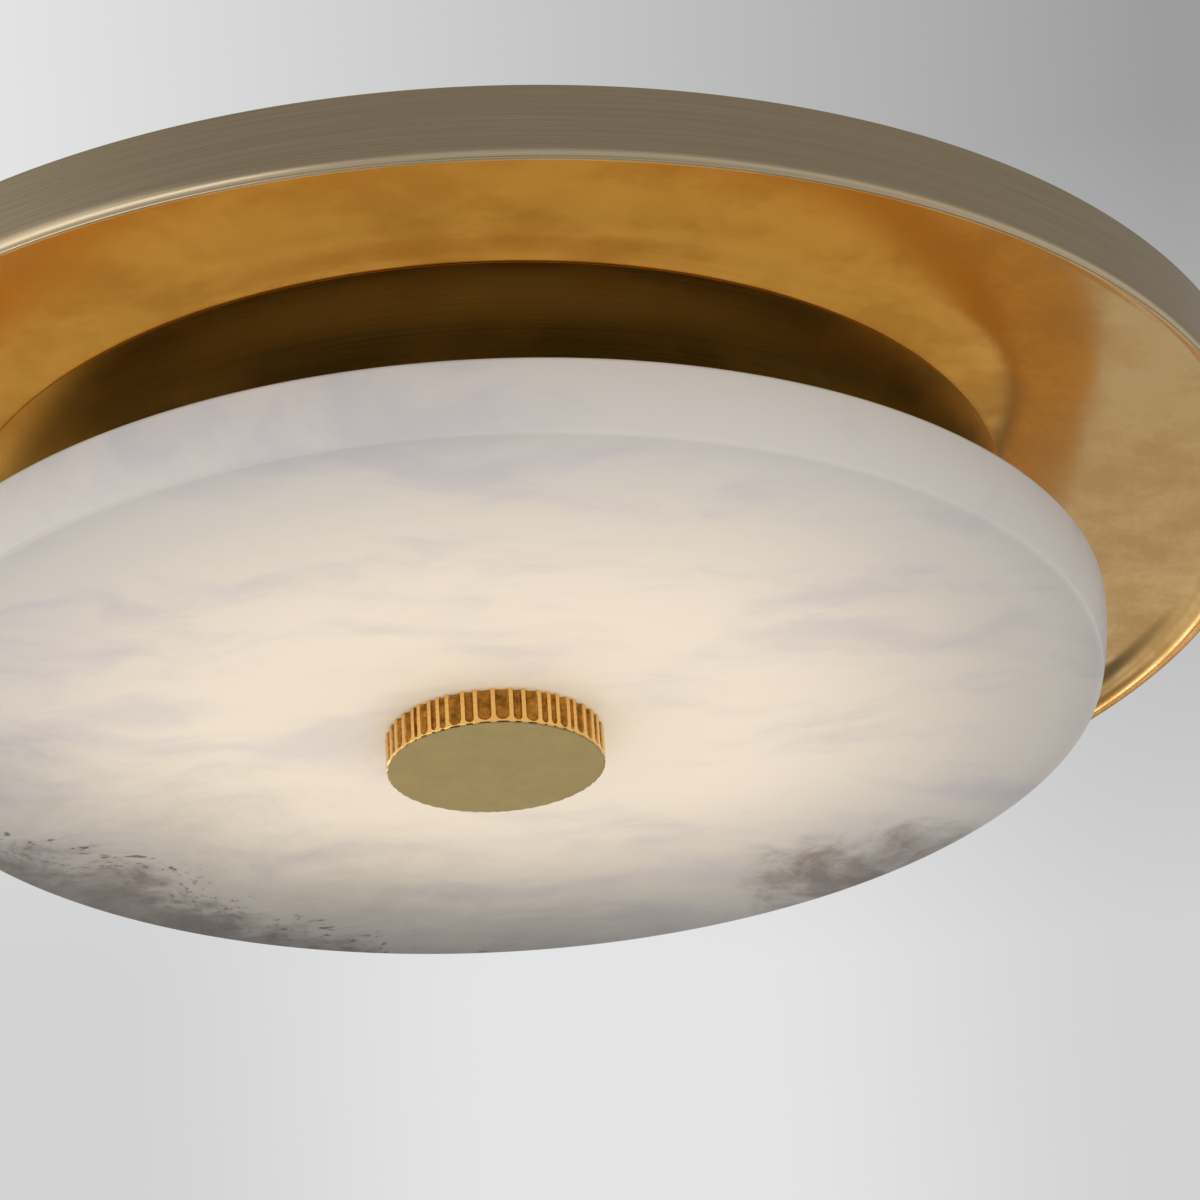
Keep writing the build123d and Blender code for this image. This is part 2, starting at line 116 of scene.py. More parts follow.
def lathe_lines(tree, flat, radius, height, spacing, runs):
    """Noise of 0 to 1 in lines that run round the axis. Spacing is their pitch across the cut in metres, and
    runs how often a line breaks in a turn. The unit vector from the axis keeps it whole all round."""
    round_way = add(tree, "VectorMath", {0: flat}, operation="NORMALIZE")
    along = add(tree, "VectorMath", {0: round_way, "Scale": runs / TURN}, operation="SCALE")
    across = add(tree, "Math", {0: radius, 1: height}, operation="ADD")
    step = add(tree, "Math", {0: across, 1: 1 / spacing}, operation="MULTIPLY")
    lift = add(tree, "CombineXYZ", {"Z": step})
    lines = add(tree, "VectorMath", {0: along, 1: lift}, operation="ADD")
    return add(tree, "TexNoise", {"Vector": lines, "Scale": 1.0, "Detail": 3.0, "Roughness": 0.6})


def dress(nodes, finish):
    """Gives one material to CAD nodes that keep their shape."""
    for name in nodes:
        mesh = CAD_NODES[name].data
        mesh.materials.clear()
        mesh.materials.append(finish)


# Surfaces

def corner_arc(before, corner, after, radius, steps):
    """The arc that rounds a corner. Its centre lies on the bisector, radius / sin(half the angle) from the
    corner, and a short straight lead at each end keeps the shading of the flat beside it."""
    before, corner, after = (np.array(point, float) for point in (before, corner, after))
    back, ahead = before - corner, after - corner
    back, ahead = back / np.linalg.norm(back), ahead / np.linalg.norm(ahead)
    half = math.acos(np.clip(back @ ahead, -1, 1)) / 2
    reach = radius / math.tan(half)
    centre = corner + (back + ahead) / np.linalg.norm(back + ahead) * radius / math.sin(half)
    first, last = corner + back * reach - centre, corner + ahead * reach - centre
    sweep = math.atan2(first[0] * last[1] - first[1] * last[0], first @ last)
    t = np.linspace(0, sweep, steps)[:, None]
    arc = centre + first * np.cos(t) + np.array([-first[1], first[0]]) * np.sin(t)
    lead = 0.2 * reach
    return np.concatenate([[arc[0] + back * lead], arc, [arc[-1] + ahead * lead]])


def rounded(outline, closed=False, steps=7):
    """A profile in mm from (r, z, rounding) corners: each corner with a rounding becomes an arc."""
    count = len(outline)
    rows = []
    for k, (r, z, rounding) in enumerate(outline):
        inner = closed or 0 < k < count - 1
        before, after = outline[k - 1][:2], outline[(k + 1) % count][:2]
        if rounding and inner:
            rows.append(corner_arc(before, (r, z), after, rounding, steps))
        else:
            rows.append([[r, z]])
    return np.concatenate(rows)


def tangent_arc(start, way, end, steps):
    """The arc that leaves start along a unit direction and ends at end: its radius is chord / (2 sin a), with
    a the angle from the direction to the chord. Start itself is left out."""
    start, way, end = (np.array(point, float) for point in (start, way, end))
    chord = end - start
    lean = math.atan2(way[0] * chord[1] - way[1] * chord[0], way @ chord)
    radius = np.linalg.norm(chord) / (2 * math.sin(lean))
    t = np.linspace(0, 2 * lean, steps)[1:, None]
    side = np.array([-way[1], way[0]])
    return start + radius * (way * np.sin(t) + side * (1 - np.cos(t)))


def ogee(start, start_slope, end, end_slope, steps):
    """A smooth line from start to end with a slope dz/dr at each. Over the width w it is the cubic
    (2t³-3t²+1) z0 + (t³-2t²+t) w m0 + (3t²-2t³) z1 + (t³-t²) w m1."""
    t = np.linspace(0, 1, steps)
    width = end[0] - start[0]
    z = (2 * t ** 3 - 3 * t ** 2 + 1) * start[1] + (t ** 3 - 2 * t ** 2 + t) * width * start_slope
    z += (3 * t ** 2 - 2 * t ** 3) * end[1] + (t ** 3 - t ** 2) * width * end_slope
    return np.stack([start[0] + width * t, z], -1)


def lathe(profile, columns=720, centre_y=0.0):
    """A profile of (r, z) rows turned round the axis: x = r cos t, y = r sin t + the row's own centre."""
    t = np.linspace(0, TURN, columns, endpoint=False)
    r, z = profile[:, :1], profile[:, 1:]
    x, y = r * np.cos(t), r * np.sin(t) + np.reshape(centre_y, (-1, 1))
    return np.stack([x, y, np.broadcast_to(z, x.shape)], -1)


def skin(name, grid, looped=False):
    """A mesh over a grid of points in mm (rows, columns, xyz). Every row closes on itself, and looped also
    joins the last row to the first. A row that lies on one point becomes a pole. Faces end up outwards."""
    rows, columns, _ = grid.shape
    here = np.arange(rows * columns).reshape(rows, columns)
    following = np.roll(here, -1, axis=0)
    if not looped:
        here, following = here[:-1], following[:-1]
    quads = np.stack([here, np.roll(here, -1, 1), np.roll(following, -1, 1), following], -1)
    mesh = bpy.data.meshes.new(name)
    mesh.from_pydata((grid.reshape(-1, 3) * MM).tolist(), [], quads.reshape(-1, 4).tolist())
    work = bmesh.new()
    work.from_mesh(mesh)
    bmesh.ops.remove_doubles(work, verts=work.verts, dist=1e-7)
    bmesh.ops.recalc_face_normals(work, faces=work.faces)
    work.to_mesh(mesh)
    work.free()
    mesh.polygons.foreach_set("use_smooth", np.ones(len(mesh.polygons), bool))
    piece = bpy.data.objects.new(name, mesh)
    bpy.context.scene.collection.objects.link(piece)
    return piece


def settle(piece, body, finish, node):
    """Gives a new piece its finish, hangs it on the body that it rides on and hides the CAD node that it
    replaces.
    """
    piece.data.materials.append(finish)
    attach(piece, body)
    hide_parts(node)


# Settings

def length(name, text, value):
    """A length property, given in mm and kept in metres."""
    return FloatProperty(name=name, description=text, default=value * MM, min=0, precision=4, unit="LENGTH")


def share(name, text, value):
    """A property between 0 and 1."""
    return FloatProperty(name=name, description=text, default=value, min=0, max=1, subtype="FACTOR")


def number(name, text, value, **limits):
    """A property that is a plain number."""
    return FloatProperty(name=name, description=text, default=value, **limits)


def angle(name, text, value):
    """An angle property in radians."""
    return FloatProperty(name=name, description=text, default=value, subtype="ANGLE")


def colour(name, text, code):
    """A colour property from an sRGB hex value."""
    shade = linear(code)
    return FloatVectorProperty(
        name=name, description=text, default=shade, size=4, min=0, max=1, subtype="COLOR",
    )


class DishSettings(bpy.types.PropertyGroup):
    sheet: length("Sheet", "Thickness of the spun sheet", 1.5)
    wire_hole: length("Wire hole", "Radius of the hole for the bushing", 8.0)
    plate_r: length("Plate radius", "Radius of the plate's inner rows, clear of the wire hole", 50.0)
    ring_inner_r: length("Ring's inner radius", "Radius where the hollow round the drum begins", 181.0)
    ring_inner_drop: length("Ring's inner drop", "Depth there", 9.0)
    ring_outer_drop: length("Ring's outer drop", "Depth where the ring meets the rolled lip", 12.5)
    hollow_slope: number("Slope at the drum", "Rise per run where the hollow meets the drum", -0.10)
    roll_width: length("Roll width", "Width of the rolled lip", 9.6)
    lip: length("Lip", "Width of the folded edge", 2.0)
    edge_round: length("Edge rounding", "Rounding of the rim's upper edge", 0.3)
    inner_round: length("Inner rounding", "Rounding inside the rim's foot", 2.0)
    wall_curl: length("Wall curl", "How far the wall draws in at the lip", 1.0)
    wall_curl_height: length("Curl height", "Height over which the wall draws in", 5.0)


class DrumSettings(bpy.types.PropertyGroup):
    wall: length("Wall", "Thickness of the drum's wall", 1.5)
    flange: length("Flange", "Width of the flange under the dish", 15.0)
    foot: length("Foot", "Width of the foot on the gasket", 7.0)
    edge_round: length("Edge rounding", "Rounding of the sheet's cut edges", 0.2)
    bend_round: length("Bend rounding", "Rounding outside a bend", 0.4)
    inner_round: length("Inner rounding", "Rounding inside a bend", 0.3)


class StoneSettings(bpy.types.PropertyGroup):
    upper_radius: length("Upper radius", "Radius of the upper edge", 179.5)
    hole_radius: length("Hole radius", "Radius of the hole for the sleeve", 8.25)
    draw_in: length("Draw-in", "How much smaller the lower edge is than the upper", 2.8)
    bulge: length("Bulge", "How far the side swells at half height", 0.7)
    dome: length("Dome", "How far the face falls towards its centre", 1.5)
    edge_round: length("Edge rounding", "Rounding of both edges", 1.2)
    body: colour("Stone", "Colour of the clear stone", "#D3CDC7")
    cloud: colour("Clouds", "Colour of the lavender-grey clouds", "#C5C0C3")
    smoke: colour("Smoke", "Colour of the smoky zone at the far edge", "#948880")
    fleck: colour("Flecks", "Colour of the rusty flecks along the smoky zone", "#7C6450")
    glow: colour("Glow", "Colour of the light that comes through", "#FFE1AE")
    face_glow: number("Face glow", "Light that comes through the face", 0.36, min=0)
    # The ledge light is painted warm light, which stands in for light bounced off the brass onto the stone's
    # top.
    ledge_light: colour("Ledge light", "Colour of the light on the ledge by the drum", "#FFCC70")
    ledge_glow: number("Ledge glow", "Light on the ledge by the drum", 0.33, min=0)


class BossSettings(bpy.types.PropertyGroup):
    ribs: IntProperty(name="Ribs", description="Number of upright ribs round the edge", default=50, min=3)
    rib_start: angle("First rib", "Angle of the first rib", math.radians(-88))
    drift: share("Drift", "How far ribs drift from even spacing, in steps", 0.35)
    drift_waves: IntProperty(name="Drift waves", description="Swings of the drift in a turn", default=5)
    wander: share("Wander", "How far ribs wander on top of the drift, in steps", 0.12)
    wander_waves: IntProperty(name="Wander waves", description="Swings of the wander in a turn", default=19)
    rib_width: length("Rib width", "Width of a rib between two grooves", 1.2)
    groove_depth: length("Groove depth", "Depth of the grooves", 1.1)
    lip: length("Lip", "Height of the lip under the grooves", 0.7)
    gold: colour("Ribs", "Colour of the polished ribs", "#F3C679")
    groove: colour("Grooves", "Colour of the patina in the grooves", "#B27E34")
    face: colour("Face", "Colour of the satin face", "#EDCF88")


class BrassSettings(bpy.types.PropertyGroup):
    burnished: colour("Burnished brass", "Colour of the dish's underside", "#F1C784")
    patina: colour("Patina", "Colour of its darker patches", "#E3B56F")
    drum_clear: colour("Drum", "Colour of the drum's brushed brass, a little greener", "#EACB80")
    drum_patina: colour("Drum's patina", "Colour of its darker patches", "#DBBB6E")
    satin: colour("Satin brass", "Colour of the brushed rim", "#C2AF90")
    sheet: colour("Bare sheet", "Colour of the bare brass above the dish", "#D8BA7C")
    roughness: share("Roughness", "Roughness of the burnished faces", 0.18)


class StageSettings(bpy.types.PropertyGroup):
    sensor: number("Sensor", "Width of the camera's sensor, mm", 36.0, min=1)
    focal: number("Focal length", "Focal length of the lens, mm", 117.604, min=1)
    eye: FloatVectorProperty(
        name="Camera", description="Where the camera stands", size=3, subtype="TRANSLATION",
        default=(0.033114, -1.033667, -0.545510),
    )
    tilt: angle("Tilt", "Angle that the camera looks up by", 0.46333)
    roll: angle("Roll", "Turn about the line of sight", -0.06578)
    level: share("Level", "Plain soft light on every surface", 0.85)
    floor_drop: length("Floor", "The floor's depth below the ceiling", 2400.0)
    floor_radius: length("Floor radius", "Radius of the round floor", 1100.0)
    floor: colour("Floor", "Colour of the plain floor", "#E6E5E3")
    bright: colour("Bright backdrop", "Colour of the backdrop's bright side", "#E5E5E6")
    middling: colour("Middling backdrop", "Colour of the backdrop's lower sides", "#D2D2D3")
    dim: colour("Dim backdrop", "Colour of the backdrop's dim side", "#9C9C9D")


# Finishes

def spun_brass(s):
    """Spun brass: burnished and lacquered below, brushed to a satin on the rim, bare sheet above. Below, the
    eye gets warm blurred mirroring with soft worn patches."""
    made, tree = blank("lacquered_spun_brass")
    place, flat, radius, height = whereabouts(tree)

    # Hand burnishing leaves soft patches some 30 mm across, with a mottle of 6 mm and a grain of 2 mm.
    patches = add(tree, "TexNoise", {"Vector": place, "Scale": 1 / 0.030, "Detail": 5.0, "Roughness": 0.62})
    worn = add(tree, "MapRange", {"Value": patches, 1: 0.38, 2: 0.66}, **SMOOTH)
    # Scratches of the burnishing cloth follow the turning: 0.05 mm wide, and drawn 0.4 mm wide to show.
    scratches = lathe_lines(tree, flat, radius, height, 0.0004, 60)
    scratched = add(tree, "MapRange", {"Value": scratches, 1: 0.3, 2: 0.75, 3: -0.12, 4: 0.12})
    grain = add(tree, "TexNoise", {"Vector": place, "Scale": 1 / 0.002, "Detail": 3.0, "Roughness": 0.6})
    grained = add(tree, "MapRange", {"Value": grain, 1: 0.3, 2: 0.7, 3: -0.14, 4: 0.14})
    worked = add(tree, "Math", {0: scratched, 1: grained}, operation="ADD")
    shade = add(tree, "Math", {0: worn, 1: worked}, operation="ADD", use_clamp=True)
    under = add(tree, "Mix", {0: shade, 6: s.burnished, 7: s.patina}, out=2, data_type="RGBA")

    # The rim is brushed round with a coarser pad: lines about 0.3 mm apart.
    brushing = lathe_lines(tree, flat, radius, height, 0.0003, 24)
    brushed = add(tree, "MapRange", {"Value": brushing, 1: 0.3, 2: 0.7, 3: 0.86, 4: 1.06})
    satin = add(tree, "VectorMath", {0: s.satin[:3], "Scale": brushed}, operation="SCALE")
    wall_start = DISH_HIGH[0] * MM - 0.0013
    wall = add(tree, "MapRange", {"Value": radius, 1: wall_start, 2: wall_start + 0.0003})
    tone = add(tree, "Mix", {0: wall, 6: under, 7: satin}, out=2, data_type="RGBA")

    # Above the sheet is bare and only shows the tool's rings, 1.2 mm apart.
    rings = lathe_lines(tree, flat, radius, height, 0.0012, 6)
    ringed = add(tree, "MapRange", {"Value": rings, 1: 0.3, 2: 0.7, 3: 0.84, 4: 1.0})
    bare = add(tree, "VectorMath", {0: s.sheet[:3], "Scale": ringed}, operation="SCALE")
    facing = add(tree, "SeparateXYZ", {0: add(tree, "TexCoord", out="Normal")}, out="Z")
    above = add(tree, "MapRange", {"Value": facing, 1: 0.2, 2: 0.4})
    tone = add(tree, "Mix", {0: above, 6: tone, 7: bare}, out=2, data_type="RGBA")

    low, high = s.roughness - 0.03, s.roughness + 0.05
    rough = add(tree, "MapRange", {"Value": shade, 3: low, 4: high})
    rough = add(tree, "Mix", {0: wall, 2: rough, 3: 0.24}, data_type="FLOAT")
    rough = add(tree, "Mix", {0: above, 2: rough, 3: 0.38}, data_type="FLOAT")
    relief = add(tree, "Bump", {"Height": brushing, "Distance": 0.000004, "Strength": 1.0})
    shader = add(tree, "BsdfPrincipled", {
        "Base Color": tone, "Metallic": 1.0, "Roughness": rough, "Normal": relief,
    })
    add(tree, "OutputMaterial", {"Surface": shader})
    return made


def brushed_brass(s):
    """Brass brushed round on the lathe and lacquered: fine level lines blur what it mirrors up and down."""
    made, tree = blank("brushed_lacquered_brass")
    place, flat, radius, height = whereabouts(tree)
    # Brushing lines 0.1 mm apart, drawn 0.35 mm apart to show.
    lines = lathe_lines(tree, flat, radius, height, 0.00035, 8)
    patches = add(tree, "TexNoise", {"Vector": place, "Scale": 1 / 0.025, "Detail": 4.0, "Roughness": 0.6})
    both = add(tree, "Math", {0: lines, 1: patches}, operation="ADD")
    shade = add(tree, "MapRange", {"Value": both, 1: 0.75, 2: 1.3})
    tone = add(tree, "Mix", {0: shade, 6: s.drum_clear, 7: s.drum_patina}, out=2, data_type="RGBA")
    rough = add(tree, "MapRange", {"Value": lines, 1: 0.3, 2: 0.7, 3: 0.12, 4: 0.2})
    relief = add(tree, "Bump", {"Height": lines, "Distance": 0.0000015, "Strength": 1.0})
    shader = add(tree, "BsdfPrincipled", {
        "Base Color": tone, "Metallic": 1.0, "Roughness": rough, "Normal": relief,
    })
    add(tree, "OutputMaterial", {"Surface": shader})
    return made


def clouded(tree, s, place):
    """Clear stone with its clouds, and the bent position that its other marks follow too."""
    # Clouds 40 mm long lie slanted across the slab, bent by up to 25 mm by a slow warp.
    slant, counts, bend = -0.6, (14, 34, 24), 0.05
    warp = add(tree, "TexNoise", {"Vector": place, "Scale": 1 / 0.060, "Detail": 2.0}, out="Color")
    warp = add(tree, "VectorMath", {0: warp, 1: (-0.5, -0.5, -0.5)}, operation="ADD")
    bent = add(tree, "VectorMath", {0: warp, "Scale": bend}, operation="SCALE")
    bent = add(tree, "VectorMath", {0: place, 1: bent}, operation="ADD")
    slanted = add(tree, "Mapping", {"Vector": bent, "Rotation": (0, 0, slant), "Scale": counts})
    clouds = add(tree, "TexNoise", {"Vector": slanted, "Scale": 1.0, "Detail": 6.0, "Roughness": 0.56})
    cloudy = add(tree, "MapRange", {"Value": clouds, 1: 0.46, 2: 0.72}, **SMOOTH)
    tone = add(tree, "Mix", {0: cloudy, 6: s.body, 7: s.cloud}, out=2, data_type="RGBA")
    return tone, bent


def smoked(tree, s, tone, bent):
    """Smoke beyond a line across the far left of the slab and in a patch on the far right, with flecks along
    the line. Also gives the 16 mm mottle and how far out a point lies along the line's normal, in metres."""
    normal, line = (-0.711, 0.703, 0.0), 0.172
    patch_at, patch_r = (0.108, 0.125, -0.06), 0.018
    mottle = add(tree, "TexNoise", {"Vector": bent, "Scale": 1 / 0.016, "Detail": 7.0, "Roughness": 0.68})
    out = add(tree, "VectorMath", {0: bent, 1: normal}, out="Value", operation="DOT_PRODUCT")
    out = add(tree, "Math", {0: mottle, 1: 0.07, 2: out}, operation="MULTIPLY_ADD")
    smoky = add(tree, "MapRange", {"Value": out, 1: line, 2: line + 0.033}, **SMOOTH)
    patch = add(tree, "VectorMath", {0: bent, 1: patch_at}, out="Value", operation="DISTANCE")
    patch = add(tree, "Math", {0: mottle, 1: -0.05, 2: patch}, operation="MULTIPLY_ADD")
    patchy = add(tree, "MapRange", {"Value": patch, 1: patch_r, 2: patch_r - 0.03}, **SMOOTH)
    smoky = add(tree, "Math", {0: smoky, 1: patchy}, operation="MAXIMUM")
    shade = add(tree, "MapRange", {"Value": mottle, 1: 0.35, 2: 0.62, 3: 0.6, 4: 1.0})
    smoky = add(tree, "Math", {0: smoky, 1: shade}, operation="MULTIPLY")
    tone = add(tree, "Mix", {0: smoky, 6: tone, 7: s.smoke}, out=2, data_type="RGBA")

    # Flecks 1 to 3 mm across lie in a band where the zone begins.
    grit = add(tree, "TexNoise", {"Vector": bent, "Scale": 1 / 0.004, "Detail": 4.0, "Roughness": 0.6})
    grit = add(tree, "MapRange", {"Value": grit, 1: 0.56, 2: 0.66}, **SMOOTH)
    rise = add(tree, "MapRange", {"Value": out, 1: line - 0.004, 2: line + 0.010}, **SMOOTH)
    fall = add(tree, "MapRange", {"Value": out, 1: line + 0.030, 2: line + 0.012}, **SMOOTH)
    band = add(tree, "Math", {0: rise, 1: fall}, operation="MULTIPLY")
    flecks = add(tree, "Math", {0: grit, 1: band}, operation="MULTIPLY")
    tone = add(tree, "Mix", {0: flecks, 6: tone, 7: s.fleck}, out=2, data_type="RGBA")
    return tone, mottle, out


def greyed(tree, s, tone, place, radius, out):
    """The slab's tone with painted shade towards its far side and its right side, greyed towards the smoke,
    and painted shade and light at the arris.
    """
    x = add(tree, "SeparateXYZ", {0: place}, out="X")
    y = add(tree, "SeparateXYZ", {0: place}, out="Y")
    # Painted shade: the tone falls to half towards the far side.
    far = add(tree, "MapRange", {"Value": y, 1: 0.03, 2: 0.2, 3: 1.0, 4: 0.5}, **SMOOTH)
    dusk = add(tree, "MapRange", {"Value": out, 1: 0.08, 2: 0.2, 3: 1.0, 4: 0.62}, **SMOOTH)
    # Painted shade: the tone falls to 0.8 towards the right side.
    aside = add(tree, "MapRange", {"Value": x, 1: 0.06, 2: 0.19, 3: 1.0, 4: 0.8}, **SMOOTH)
    far = add(tree, "Math", {0: far, 1: dusk}, operation="MULTIPLY")
    grey = add(tree, "Math", {0: far, 1: aside}, operation="MULTIPLY")
    # The arris shows, because the face has painted shade just inside it and the side painted light just
    # outside it.
    arris = (STONE_HIGH[0] - 0.5) * MM - s.draw_in
    inside = add(tree, "MapRange", {"Value": radius, 1: arris - 0.012, 2: arris - 0.002, 3: 1.0, 4: 0.94})
    outside = add(tree, "MapRange", {"Value": radius, 1: arris - 0.0012, 2: arris - 0.0002})
    edge = add(tree, "Mix", {0: outside, 2: inside, 3: 1.03}, data_type="FLOAT")
    grey = add(tree, "Math", {0: grey, 1: edge}, operation="MULTIPLY")
    return add(tree, "VectorMath", {0: tone, "Scale": grey}, operation="SCALE")


def lamplight(tree, s, tone, radius, height):
    """What the stone gives off: lamplight, full over the lamps and gone at the rim, and painted warm light on
    the ledge beside the drum, which stands in for light bounced off the brass. The stone's own tone tints it."""
    middle = {"Value": radius, 1: 0.070, 2: 0.195, 3: s.face_glow, 4: 0.03}
    light = add(tree, "MapRange", middle, **SMOOTH)
    # Painted warm light over the whole top face, which stands in for light bounced off the brass dish.
    top_z = STONE_HIGH[2] * MM
    top = add(tree, "MapRange", {"Value": height, 1: top_z - 0.0003, 2: top_z - 0.0001})
    light = add(tree, "Mix", {0: top, 2: light, 3: s.ledge_glow}, data_type="FLOAT")
    warmth = add(tree, "Mix", {0: top, 6: s.glow, 7: s.ledge_light}, out=2, data_type="RGBA")
    relative = add(tree, "VectorMath", {0: tone, 1: s.body[:3]}, operation="DIVIDE")
    lit = add(tree, "VectorMath", {0: relative, 1: warmth}, operation="MULTIPLY")
    return add(tree, "VectorMath", {0: lit, "Scale": light}, operation="SCALE")


def alabaster(s):
    """Honed alabaster lit from above: milky stone with soft clouds, a smoky zone with rusty flecks along its
    edge, and lamplight that comes through cream in the middle and fades to the rim."""
    made, tree = blank("honed_alabaster")
    place, _, radius, height = whereabouts(tree)
    tone, bent = clouded(tree, s, place)
    tone, mottle, out = smoked(tree, s, tone, bent)
    tone = greyed(tree, s, tone, place, radius, out)
    rough = add(tree, "MapRange", {"Value": mottle, 1: 0.3, 2: 0.7, 3: 0.36, 4: 0.46})
    shader = add(tree, "BsdfPrincipled", {
        "Base Color": tone, "Roughness": rough, "IOR": 1.52,
        "Emission Color": lamplight(tree, s, tone, radius, height), "Emission Strength": 1.0,
    })
    add(tree, "OutputMaterial", {"Surface": shader})
    return made


def cast_brass(s):
    """Sand-cast brass: polished ribs and lip, dark grainy patina left in the grooves, satin face."""
    made, tree = blank("sand_cast_brass")
    place, _, radius, height = whereabouts(tree)
    # Sand grain is 0.2 mm, drawn 0.7 mm to show, and drawn out along the grooves.
    drawn = add(tree, "Mapping", {"Vector": place, "Scale": (1400, 1400, 700)})
    grain = add(tree, "TexNoise", {"Vector": drawn, "Scale": 1.0, "Detail": 3.0, "Roughness": 0.6})
    stain = add(tree, "TexNoise", {"Vector": place, "Scale": 1 / 0.003, "Detail": 4.0, "Roughness": 0.6})
    edge = BOSS_HIGH[0] * MM
    depth = add(tree, "Math", {0: grain, 1: -0.0004, 2: radius}, operation="MULTIPLY_ADD")
    rib = add(tree, "MapRange", {"Value": depth, 1: edge - 0.0009, 2: edge - 0.0004})
    patina = add(tree, "MapRange", {"Value": stain, 1: 0.35, 2: 0.65, 3: 0.45, 4: 1.3})
    floor = add(tree, "VectorMath", {0: s.groove[:3], "Scale": patina}, operation="SCALE")
    side = add(tree, "Mix", {0: rib, 6: floor, 7: s.gold}, out=2, data_type="RGBA")
    low = BOSS_LOW[2] * MM
    face = add(tree, "MapRange", {"Value": height, 1: low + 0.00025, 2: low + 0.0001})
    mottle = add(tree, "TexNoise", {"Vector": place, "Scale": 1 / 0.008, "Detail": 5.0, "Roughness": 0.65})
    satin = add(tree, "MapRange", {"Value": mottle, 1: 0.3, 2: 0.7, 3: 0.93, 4: 1.05})
    satin = add(tree, "VectorMath", {0: s.face[:3], "Scale": satin}, operation="SCALE")
    tone = add(tree, "Mix", {0: face, 6: side, 7: satin}, out=2, data_type="RGBA")
    rough = add(tree, "Mix", {0: rib, 2: 0.5, 3: 0.2}, data_type="FLOAT")
    rough = add(tree, "Mix", {0: face, 2: rough, 3: 0.4}, data_type="FLOAT")
    relief = add(tree, "Bump", {"Height": grain, "Distance": 0.00004, "Strength": 0.6})
    shader = add(tree, "BsdfPrincipled", {
        "Base Color": tone, "Metallic": 1.0, "Roughness": rough, "Normal": relief,
    })
    add(tree, "OutputMaterial", {"Surface": shader})
    return made


def plain_finish(name, code, roughness, grain, metallic=0.0, waver=0.12, other=None, seam=0.0):
    """One colour whose tone and roughness waver with a grain in mm. Another colour can take over where x is
    past a seam in mm."""
    made, tree = blank(name)
    place = add(tree, "TexCoord", out="Object")
    wave = add(tree, "TexNoise", {"Vector": place, "Scale": 1000 / grain, "Detail": 3.0})
    bright = add(tree, "MapRange", {"Value": wave, 1: 0.3, 2: 0.7, 3: 1 - waver, 4: 1.0})
    x = add(tree, "SeparateXYZ", {0: place}, out="X")
    past = add(tree, "Math", {0: x, 1: seam * MM}, operation="GREATER_THAN")
    tone = add(tree, "Mix", {0: past, 6: linear(code), 7: linear(other or code)}, out=2, data_type="RGBA")
    tone = add(tree, "VectorMath", {0: tone, "Scale": bright}, operation="SCALE")
    rough = add(tree, "MapRange", {"Value": wave, 1: 0.3, 2: 0.7, 3: roughness, 4: roughness * 1.25})
    shader = add(tree, "BsdfPrincipled", {"Base Color": tone, "Metallic": metallic, "Roughness": rough})
    add(tree, "OutputMaterial", {"Surface": shader})
    return made


# Operators

class FLUSH_OT_dish(bpy.types.Operator):
    """Makes the spun dish: centre plate, hollow, wide ring, rolled lip and brushed rim in one sheet"""
    bl_idname = "flush.dish"
    bl_label = "Dish"

    def execute(self, context):
        s = context.scene.flush_dish
        sheet, centre, plate_r = s.sheet / MM, DRUM_HIGH[2], s.plate_r / MM
        rim_r, rim_z, drum_r = DISH_HIGH[0], DISH_LOW[2], DRUM_HIGH[0]
        hole_r, bushing_y = s.wire_hole / MM, (BUSHING_LOW[1] + BUSHING_HIGH[1]) / 2
        lip_r = rim_r - s.lip / MM
        inner = np.array([s.ring_inner_r, -s.ring_inner_drop]) / MM
        outer = np.array([lip_r - s.roll_width / MM, -s.ring_outer_drop / MM])
        inwards = (inner - outer) / np.linalg.norm(inner - outer)
        ring_slope = inwards[1] / inwards[0]
        hollow = ogee((drum_r, centre), s.hollow_slope, inner, ring_slope, 26)[:-1]
        # The lip is one folded edge, rounded outside, that the roll and the wall run into just above it.
        fold_in, fold_out = 0.25, 0.2
        roll_z, wall_z = rim_z + fold_in + 0.05, rim_z + fold_out + 0.05
        roll = tangent_arc(outer, -inwards, (lip_r, roll_z), 14)
        plate = [(hole_r, centre), (plate_r, centre), (drum_r - 1, centre)]
        under = np.concatenate([plate, hollow, [inner, outer]])
        # The wall draws in towards the lip as the power 3.5 of the height left to it.
        t = np.linspace(1, 0, 20)
        curl, height = s.wall_curl / MM, s.wall_curl_height / MM
        wall = np.stack([rim_r - curl * t ** 3.5, wall_z + height * (1 - t)], -1)
        fold = rounded([
            (lip_r, roll_z, 0), (lip_r, rim_z, fold_in), (rim_r - curl, rim_z, fold_out), (*wall[0], 0),
        ])
        edge, wall_r = s.edge_round / MM, rim_r - sheet
        rim = rounded([
            (rim_r, -1.0, 0), (rim_r, 0, edge), (wall_r, 0, edge),
            (wall_r, outer[1] + sheet, s.inner_round / MM), (inner[0], inner[1] + sheet, 0),
        ])
        back = [(plate_r, centre + sheet), (hole_r, centre + sheet)]
        top = np.concatenate([rim, hollow[::-1] + (0, sheet), back])
        profile = np.concatenate([under, roll, fold[1:-1], wall, top])
        centres = np.where(profile[:, 0] < hole_r + 0.01, bushing_y, 0.0)
        piece = skin("dish_sheet", lathe(profile, centre_y=centres), looped=True)
        settle(piece, "fixture", spun_brass(context.scene.flush_brass), "dish")
        return {"FINISHED"}


